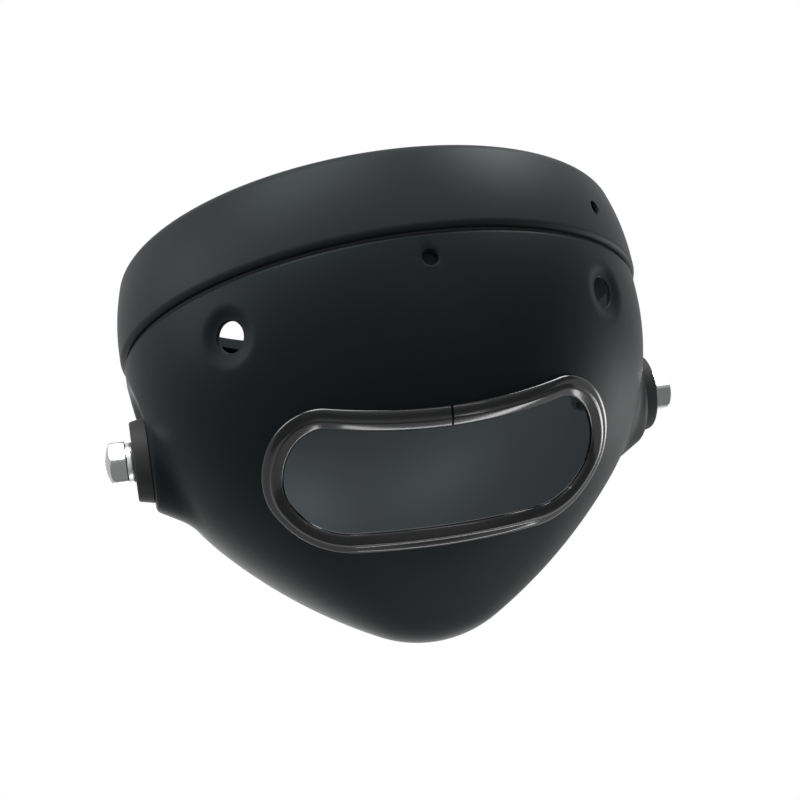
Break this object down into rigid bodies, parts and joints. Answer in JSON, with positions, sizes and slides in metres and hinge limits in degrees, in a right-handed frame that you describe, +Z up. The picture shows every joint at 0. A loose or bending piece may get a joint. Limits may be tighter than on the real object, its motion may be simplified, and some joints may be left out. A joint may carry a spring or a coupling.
{
  "type": "motorcycle headlight housing",
  "caption": "Round motorcycle headlight housing: deep pressed bowl with a crowned front ring, a kidney-shaped wiring opening with rubber edge trim, and a bolted mount on each side.",
  "frame": {"origin": "centre of the lens opening", "axes": "the lamp looks along -Y, +Z is up on the motorcycle, +X is the rider's left"},
  "size_m": [0.2082, 0.1429, 0.1884],
  "materials": {
    "bowl_paint": "satin black powder coat on steel sheet",
    "ring_paint": "satin black powder coat on steel strip",
    "trim_vinyl": "glossy black extruded edge trim",
    "spacer_rubber": "matt moulded rubber",
    "seal_rubber": "matt flat rubber ring",
    "bolt_chrome": "bright plated steel",
    "washer_steel": "zinc plated spring steel",
    "nut_steel": "zinc plated weld nut",
    "zinc_sheet": "zinc plated steel sheet"
  },
  "bodies": {
    "root": {"shell": "bowl_paint", "front_ring": "ring_paint", "ring_hook": "zinc_sheet", "rim_seal": "seal_rubber", "opening_trim": "trim_vinyl", "spacer_left": "spacer_rubber", "spacer_right": "spacer_rubber", "spring_washer_left": "washer_steel", "spring_washer_right": "washer_steel", "mount_bolt_left": "bolt_chrome", "mount_bolt_right": "bolt_chrome", "doubler_left": "zinc_sheet", "doubler_right": "zinc_sheet", "weld_nut_left": "nut_steel", "weld_nut_right": "nut_steel"}
  },
  "joints": []
}
